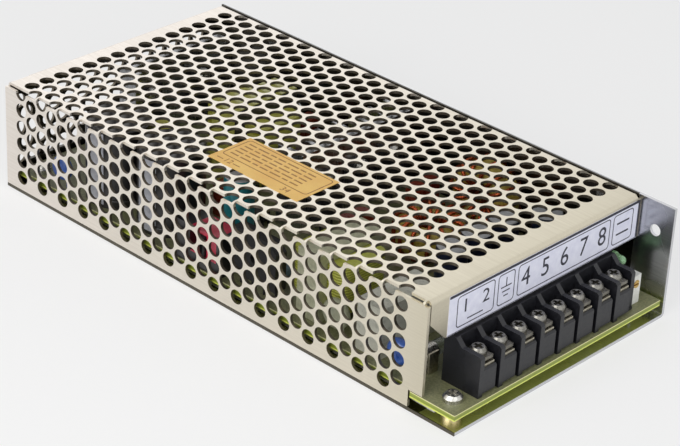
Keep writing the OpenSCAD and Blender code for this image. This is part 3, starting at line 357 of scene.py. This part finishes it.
finishes = {
    "chassis": sheet_finish(),
    "cover": cover_finish(),
    "cover_screws": steel,
    "board_standoffs": plain("turned_brass", (190, 174, 122), (216, 200, 150), (0.3, 0.4), 1200, Metallic=1.0),
    "insulation_film": plain("film", (206, 204, 196), (222, 220, 212), (0.3, 0.45), 260),
    "circuit_board": board_finish(),
    "board_screws": steel,
    "front_label": plain("label_paper", (214, 215, 232), (228, 229, 242), (0.45, 0.6), [400, 400, 400], 0.05),
    "top_label": amber_finish(),
    "terminal_block": black,
    "terminal_contacts": zinc,
    "trimmer_body": white,
    "trimmer_rotor": plain("rotor_brass", (186, 152, 84), (214, 182, 112), (0.25, 0.4), 1500, Metallic=1.0),
    "status_led": plain("lamp_lens", (150, 200, 150), (178, 220, 172), (0.2, 0.3), 700, Transmission_Weight=0.35),
    "selector_body": selector_finish(),
    "selector_slider": package,
    "fuse_glass": glass_finish(),
    "fuse_caps": steel,
    "fuse_clips": zinc,
    "thermistor": plain("thermistor_coat", (46, 58, 40), (66, 78, 54), (0.35, 0.5), 700),
    "varistor": plain("varistor_coat", (150, 152, 128), (176, 178, 152), (0.3, 0.42), 500, Coat_Weight=0.3),
    "x_capacitor": plain("film_box_grey", (196, 196, 182), (216, 215, 200), (0.24, 0.36), 600, Coat_Weight=0.3),
    "y_capacitors": blue,
    "choke_core": plain("choke_foil", (176, 178, 150), (206, 206, 176), (0.28, 0.42), 900, Metallic=0.4),
    "choke_winding": wound("choke_tape", (150, 150, 44), (206, 210, 96), (0.3, 0.45), 1100, "Z"),
    "bridge_rectifier": package,
    "bulk_capacitors": can_finish("bulk_sleeve", "bulk_capacitors", (22, 20, 20), (34, 31, 30), (52, 50, 50)),
    "primary_heatsink": sink,
    "switching_transistors": package,
    "transformer_core": plain("core_ferrite", (40, 40, 40), (60, 60, 58), (0.45, 0.6), 1400),
    "transformer_winding": wound("transformer_tape_turns", (170, 166, 50), (222, 220, 110), (0.3, 0.4), 300, "Z"),
    "transformer_tape": plain("core_tape", (206, 204, 92), (226, 224, 122), (0.22, 0.34), 300, Coat_Weight=0.4),
    "driver_transformer": plain("driver_tape", (196, 190, 70), (220, 214, 100), (0.26, 0.4), 400, Coat_Weight=0.3),
    "secondary_heatsink": sink,
    "rectifier_diodes": package,
    "heatsink_screws": steel,
    "toroid_cores": plain("powder_core", (172, 150, 62), (196, 176, 86), (0.4, 0.55), 1100),
    "toroid_windings": plain("copper_enamel", (150, 66, 34), (196, 98, 56), (0.22, 0.34), 900, Metallic=0.8),
    "output_capacitors": can_finish("output_sleeve", "output_capacitors", (20, 26, 48), (32, 40, 66)),
    "supply_capacitor": can_finish("supply_sleeve", "supply_capacitor", (24, 110, 120), (48, 140, 148)),
    "control_chips": package,
    "power_resistors": plain("resistor_coat", (120, 150, 168), (146, 172, 188), (0.45, 0.6), 1200),
    "film_capacitors": plain("film_dip", (120, 42, 26), (150, 60, 38), (0.24, 0.36), 500, Coat_Weight=0.3),
}
for pole in range(1, 9):
    finishes[f"clamp_plate_{pole}"] = clamp_painted_dark_reflection
    finishes[f"terminal_screw_{pole}"] = nickel_painted_dark_reflection

for name, node in nodes.items():
    node.data.materials.clear()
    node.data.materials.append(finishes[name])


# ---- Print on the labels, and a painted shadow line on the front label ----

PRINT_T = 0.03 * MM


def rounded(x0, y0, x1, y1, r):
    """A rounded rectangle's outline."""
    steps = 6
    corners = ((x1 - r, y0 + r, -90), (x1 - r, y1 - r, 0), (x0 + r, y1 - r, 90), (x0 + r, y0 + r, 180))
    return [
        (cx + r * math.cos(math.radians(start + 90 * k / steps)), cy + r * math.sin(math.radians(start + 90 * k / steps)))
        for cx, cy, start in corners for k in range(steps + 1)
    ]


def ring(x0, y0, x1, y1, r, line):
    """A rounded frame's two outlines."""
    return [rounded(x0, y0, x1, y1, r), rounded(x0 + line, y0 + line, x1 - line, y1 - line, max(r - line, line / 2))]


def bar(x0, y0, x1, y1):
    return [(x0, y0), (x1, y0), (x1, y1), (x0, y1)]


def flat_print(name, place, outlines, figures, material):
    """Thin print on a label: outlines are closed lines, and figures are (text, x, y, height, width factor)."""
    drawn = bmesh.new()

    def collect(data, matrix):
        thing = bpy.data.objects.new("drawing", data)
        bpy.context.scene.collection.objects.link(thing)
        bpy.context.view_layer.update()
        mesh = bpy.data.meshes.new_from_object(thing.evaluated_get(bpy.context.evaluated_depsgraph_get()))
        mesh.transform(matrix)
        drawn.from_mesh(mesh)
        bpy.data.objects.remove(thing)
        bpy.data.meshes.remove(mesh)

    curve = bpy.data.curves.new("outlines", "CURVE")
    curve.dimensions = "2D"
    curve.fill_mode = "BOTH"
    curve.extrude = PRINT_T / 2
    for outline in outlines:
        spline = curve.splines.new("POLY")
        spline.points.add(len(outline) - 1)
        spline.use_cyclic_u = True
        for point, (x, y) in zip(spline.points, outline):
            point.co = (x, y, 0, 1)
    collect(curve, Matrix())
    for text, x, y, height, width in figures:
        font = bpy.data.curves.new("figure", "FONT")
        font.body = text
        font.align_x = "CENTER"
        font.align_y = "CENTER"
        font.extrude = PRINT_T / 2
        font.size = 1.0 * height / 0.7
        collect(font, Matrix.Translation((x, y, 0)) @ Matrix.Diagonal((width, 1, 1, 1)))
    mesh = bpy.data.meshes.new(name)
    drawn.to_mesh(mesh)
    drawn.free()
    mesh.transform(place)
    mesh.materials.append(material)
    piece = bpy.data.objects.new(name, mesh)
    bpy.context.scene.collection.objects.link(piece)
    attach(piece, "case")
    return piece


def facing(origin, right, up):
    """The placement of a drawing that is read with these directions to its right and up."""
    right, up = Vector(right), Vector(up)
    matrix = Matrix((right, up, right.cross(up))).transposed().to_4x4()
    matrix.translation = origin
    return matrix


# The front label's ink also draws a painted shadow line along the label's top and right end.
ink_and_painted_shadow = plain("label_ink_and_painted_shadow", (30, 30, 42), (50, 50, 64), (0.5, 0.62), 1500, 0.05)
brown_ink = plain("brown_ink", (138, 92, 34), (166, 116, 52), (0.45, 0.58), 1200, 0.05)

low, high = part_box("front_label")
label_w, label_h = high.x - low.x, high.z - low.z
POLES = 8
pitch = (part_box("clamp_plate_8")[0].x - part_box("clamp_plate_1")[0].x) / (POLES - 1)
first = (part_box("clamp_plate_1")[0].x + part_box("clamp_plate_1")[1].x) / 2 - low.x
LINE = 0.32 * MM
frame_low, frame_high = 1.3 * MM, label_h - 1.5 * MM
frame_mid = (frame_low + frame_high) / 2
gap = 0.7 * MM


def pole_x(number):
    return first + (number - 1) * pitch


outlines = []
for start, end in ((1, 2), (3, 3), (4, 8)):
    outlines += ring(pole_x(start) - pitch / 2 + gap, frame_low, pole_x(end) + pitch / 2 - gap, frame_high, 1.3 * MM, LINE)
corner = pole_x(8) + pitch / 2
outlines += ring(corner + gap, frame_low, corner + 10.5 * MM, frame_high, 1.3 * MM, LINE)
# Painted shadow: the dark bars along the label's top and down its right end stand for the shade under the cover's
# front edge, drawn in the label ink.
outlines.append(bar(0.1 * MM, label_h - 0.95 * MM, label_w, label_h - 0.05 * MM))
outlines.append(bar(label_w - 0.85 * MM, 0.1 * MM, label_w, label_h - 0.95 * MM))
outlines.append(bar(0.1 * MM, 0.1 * MM, label_w - 0.75 * MM, 0.3 * MM))
earth_x = pole_x(3)
outlines.append(bar(earth_x - 0.2 * MM, frame_mid + 0.6 * MM, earth_x + 0.2 * MM, frame_high - 1.6 * MM))
for step, half in enumerate((2.4, 1.7, 1.0)):
    z = frame_mid + (0.6 - 1.5 * step) * MM
    outlines.append(bar(earth_x - half * MM, z - 0.2 * MM, earth_x + half * MM, z + 0.2 * MM))
outlines.append(bar(pole_x(1.5) - 3.4 * MM, frame_low + 1.5 * MM, pole_x(1.5) + 3.4 * MM, frame_low + 1.9 * MM))
for level in (0.32, 0.68):
    z = frame_low + (frame_high - frame_low) * level
    outlines.append(bar(corner + 2.6 * MM, z - 0.3 * MM, corner + 8.6 * MM, z + 0.3 * MM))
figures = [(str(number), pole_x(number), frame_mid + 1.0 * MM, 4.4 * MM, 1.1) for number in (1, 2)]
figures += [(str(number), pole_x(number), frame_mid, 6.2 * MM, 0.95) for number in range(4, 9)]
flat_print(
    "front_label_print", facing((low.x, low.y - PRINT_T / 2, low.z), (1, 0, 0), (0, 0, 1)),
    outlines, figures, ink_and_painted_shadow,
)

low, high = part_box("top_label")
across, along = high.x - low.x, high.y - low.y
place = facing((low.x, high.y, high.z + PRINT_T / 2), (0, -1, 0), (1, 0, 0))
outlines = ring(1.2 * MM, 4.6 * MM, along - 1.0 * MM, across - 1.0 * MM, 1.4 * MM, 0.35 * MM)
ROWS = 5
row_step = (across - 8.2 * MM) / ROWS
for row in range(ROWS):
    y = 6.4 * MM + (row + 0.5) * row_step - 0.4 * MM
    x = 3.0 * MM
    word = row
    while x < along - 6.5 * MM:
        length = (3.4 + 1.3 * math.sin(2.1 * word + row)) * MM
        outlines.append(bar(x, y - 0.3 * MM, x + length, y + 0.3 * MM))
        x += length + 0.9 * MM
        word += 1
for x0, x1 in ((2.0, 4.6), (9.0, 12.0)):
    outlines.append(bar(x0 * MM, 2.0 * MM, x1 * MM, 2.4 * MM))
figures = [("12", 6.8 * MM, 2.4 * MM, 2.4 * MM, 1.0), ("34", along - 7.5 * MM, 2.4 * MM, 2.4 * MM, 1.0)]
flat_print("top_label_print", place, outlines, figures, brown_ink)


# ---- Pale polarity stripes on the two large capacitors ----

low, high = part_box("bulk_capacitors")
can_r = (high.x - low.x) / 2
STRIPE_W = 8.0 * MM
STRIPE_T = 0.12 * MM
stripe_low, stripe_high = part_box("circuit_board")[1].z + 1.2 * MM, high.z - 1.6 * MM
pale = plain("stripe_ink", (168, 170, 178), (190, 192, 200), (0.3, 0.42), 700, Coat_Weight=0.3)
for number, can_y in enumerate((low.y + can_r, high.y - can_r), 1):
    stripe = bmesh.new()
    steps = 12
    rows = []
    for radius in (can_r - STRIPE_T / 2, can_r + STRIPE_T / 2):
        for z in (stripe_low, stripe_high):
            rows.append([
                stripe.verts.new((
                    low.x + can_r - radius * math.cos((k / steps - 0.5) * STRIPE_W / can_r),
                    can_y + radius * math.sin((k / steps - 0.5) * STRIPE_W / can_r), z,
                )) for k in range(steps + 1)
            ])
    inner_low, inner_high, outer_low, outer_high = rows
    for one, other in ((inner_low, inner_high), (outer_high, outer_low), (inner_high, outer_high), (outer_low, inner_low)):
        for k in range(steps):
            stripe.faces.new((one[k], one[k + 1], other[k + 1], other[k]))
    for k in (0, steps):
        stripe.faces.new((inner_low[k], inner_high[k], outer_high[k], outer_low[k]))
    bmesh.ops.recalc_face_normals(stripe, faces=stripe.faces)
    mesh = bpy.data.meshes.new(f"polarity_stripe_{number}")
    stripe.to_mesh(mesh)
    stripe.free()
    mesh.materials.append(pale)
    piece = bpy.data.objects.new(f"polarity_stripe_{number}", mesh)
    bpy.context.scene.collection.objects.link(piece)
    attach(piece, "case")


# ---- Floor, light and camera ----

floor_material = bpy.data.materials.new("studio_floor")
floor_material.use_nodes = True
tree = floor_material.node_tree
tree.nodes.clear()
output = tree.nodes.new("ShaderNodeOutputMaterial")
blend = tree.nodes.new("ShaderNodeMixShader")
matt = tree.nodes.new("ShaderNodeBsdfDiffuse")
glow = tree.nodes.new("ShaderNodeEmission")
matt.inputs["Color"].default_value = (0.86, 0.86, 0.86, 1)
glow.inputs["Color"].default_value = (1, 1, 1, 1)
glow.inputs["Strength"].default_value = 1.0
blend.inputs["Fac"].default_value = 0.6
tree.links.new(matt.outputs["BSDF"], blend.inputs[1])
tree.links.new(glow.outputs["Emission"], blend.inputs[2])
tree.links.new(blend.outputs["Shader"], output.inputs["Surface"])
floor_mesh = bpy.data.meshes.new("floor")
reach = 4.0
floor_z = cad_low.z - 0.2 * MM
floor_mesh.from_pydata(
    [(x * reach, y * reach, floor_z) for x, y in ((-1, -1), (1, -1), (1, 1), (-1, 1))], [], [(0, 1, 2, 3)]
)
floor_mesh.materials.append(floor_material)
floor = bpy.data.objects.new("floor", floor_mesh)
bpy.context.scene.collection.objects.link(floor)

world = bpy.data.worlds.new("studio")
bpy.context.scene.world = world
world.use_nodes = True
tree = world.node_tree
tree.nodes.clear()
output = tree.nodes.new("ShaderNodeOutputWorld")
blend = tree.nodes.new("ShaderNodeMixShader")
soft = tree.nodes.new("ShaderNodeBackground")
backdrop = tree.nodes.new("ShaderNodeBackground")
path = tree.nodes.new("ShaderNodeLightPath")
soft.inputs["Color"].default_value = (0.97, 0.985, 1.0, 1)
soft.inputs["Strength"].default_value = 0.42
backdrop.inputs["Color"].default_value = (1, 1, 1, 1)
backdrop.inputs["Strength"].default_value = 1.0
seen = tree.nodes.new("ShaderNodeMath")
seen.operation = "MAXIMUM"
mirrored = tree.nodes.new("ShaderNodeMath")
mirrored.operation = "MAXIMUM"
tree.links.new(path.outputs["Is Camera Ray"], seen.inputs[0])
tree.links.new(path.outputs["Is Glossy Ray"], seen.inputs[1])
tree.links.new(seen.outputs[0], mirrored.inputs[0])
tree.links.new(path.outputs["Is Transmission Ray"], mirrored.inputs[1])
tree.links.new(mirrored.outputs[0], blend.inputs["Fac"])
tree.links.new(soft.outputs["Background"], blend.inputs[1])
tree.links.new(backdrop.outputs["Background"], blend.inputs[2])
tree.links.new(blend.outputs["Shader"], output.inputs["Surface"])

centre = (cad_low + cad_high) / 2


def softbox(name, place, size, power, tint=(1, 1, 1)):
    data = bpy.data.lights.new(name, "AREA")
    data.shape = "RECTANGLE"
    data.size, data.size_y = size
    data.energy = power
    data.color = tint
    lamp = bpy.data.objects.new(name, data)
    lamp.location = centre + Vector(place)
    lamp.rotation_euler = (centre - lamp.location).to_track_quat("-Z", "Y").to_euler()
    bpy.context.scene.collection.objects.link(lamp)


softbox("key", (-0.75, -0.1, 0.45), (0.7, 0.5), 4.5, (1.0, 0.985, 0.96))
softbox("fill", (-0.3, -0.9, 0.35), (0.8, 0.5), 2.5, (0.97, 0.98, 1.0))
softbox("back", (0.5, 0.8, 0.6), (0.8, 0.6), 0.6)

AZIMUTH, ELEVATION, ROLL = (math.radians(angle) for angle in (-47.4, 29.09, 3.0))
DISTANCE = 0.726
target = centre + Vector((-9.31, -15.10, 0)) * MM
back = Vector((
    math.sin(AZIMUTH) * math.cos(ELEVATION), -math.cos(AZIMUTH) * math.cos(ELEVATION), math.sin(ELEVATION)
))
level = (-back).cross(Vector((0, 0, 1))).normalized()
upright = level.cross(-back)
right = level * math.cos(ROLL) + upright * math.sin(ROLL)
up = upright * math.cos(ROLL) - level * math.sin(ROLL)
camera_data = bpy.data.cameras.new("camera")
camera_data.sensor_width = 36.0
camera_data.lens = 123.5
camera_data.clip_start = 0.01
camera = bpy.data.objects.new("camera", camera_data)
camera.matrix_world = Matrix((right, up, back)).transposed().to_4x4()
camera.location = target + back * DISTANCE
bpy.context.scene.collection.objects.link(camera)
bpy.context.scene.camera = camera

bpy.context.scene.view_settings.view_transform = "Standard"
